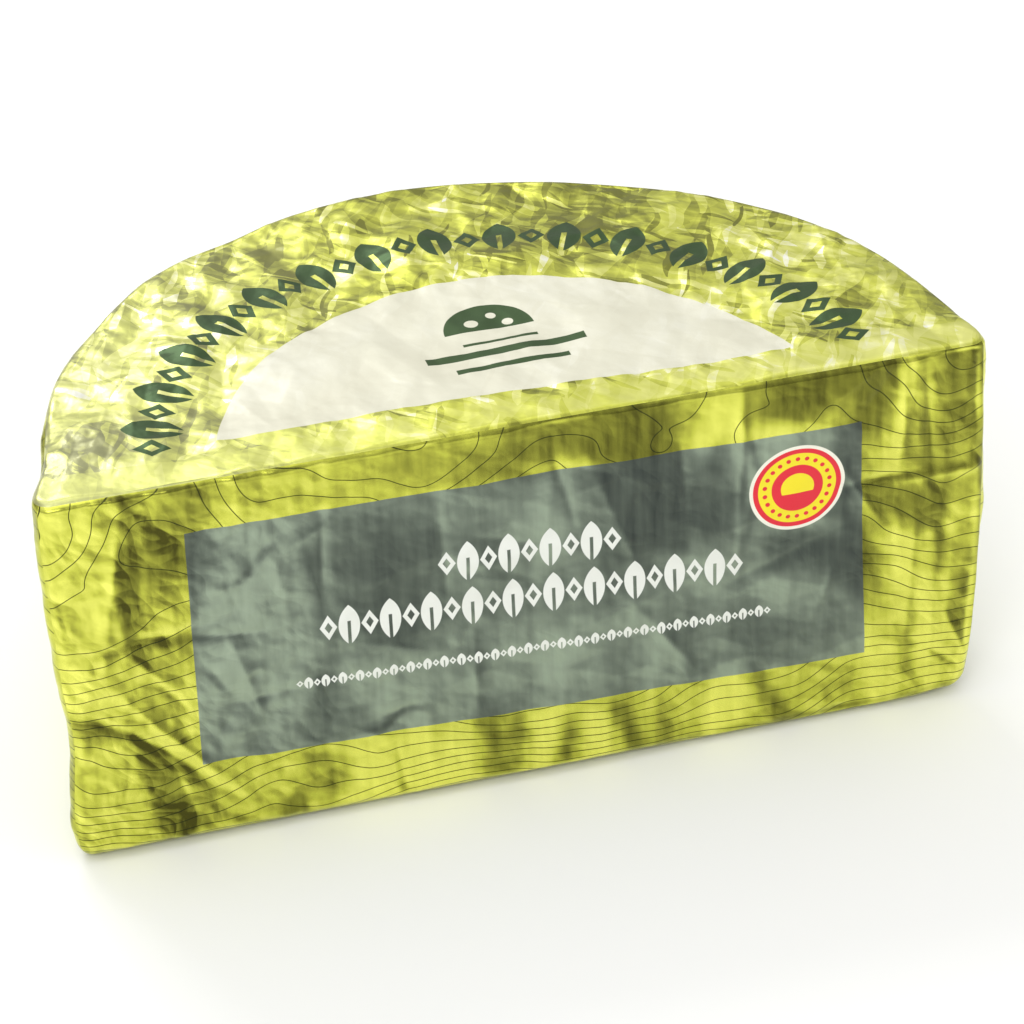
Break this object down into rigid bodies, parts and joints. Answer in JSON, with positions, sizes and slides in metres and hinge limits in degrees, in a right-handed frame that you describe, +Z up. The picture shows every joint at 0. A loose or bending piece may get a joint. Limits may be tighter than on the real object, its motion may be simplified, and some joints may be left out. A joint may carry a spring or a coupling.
{
  "type": "foil-wrapped half wheel of blue cheese",
  "caption": "Half wheel of blue cheese shut in printed metallic foil: half-round top, flat upright cut face, curved rind side, gathered folds under a flat base.",
  "frame": {"origin": "middle of the footprint's bounding box, on the surface the pack stands on", "axes": "+X along the flat cut face from its left to its right end, -Y straight out of the cut face, +Z up"},
  "size_m": [0.2002, 0.1016, 0.0903],
  "materials": {
    "printed_foil": "satin crumpled foil printed yellow-green, with a grey-green panel on the cut face and a cream half-moon on the top"
  },
  "bodies": {
    "root": {"foil_wrapped_half_wheel": "printed_foil"}
  },
  "joints": []
}
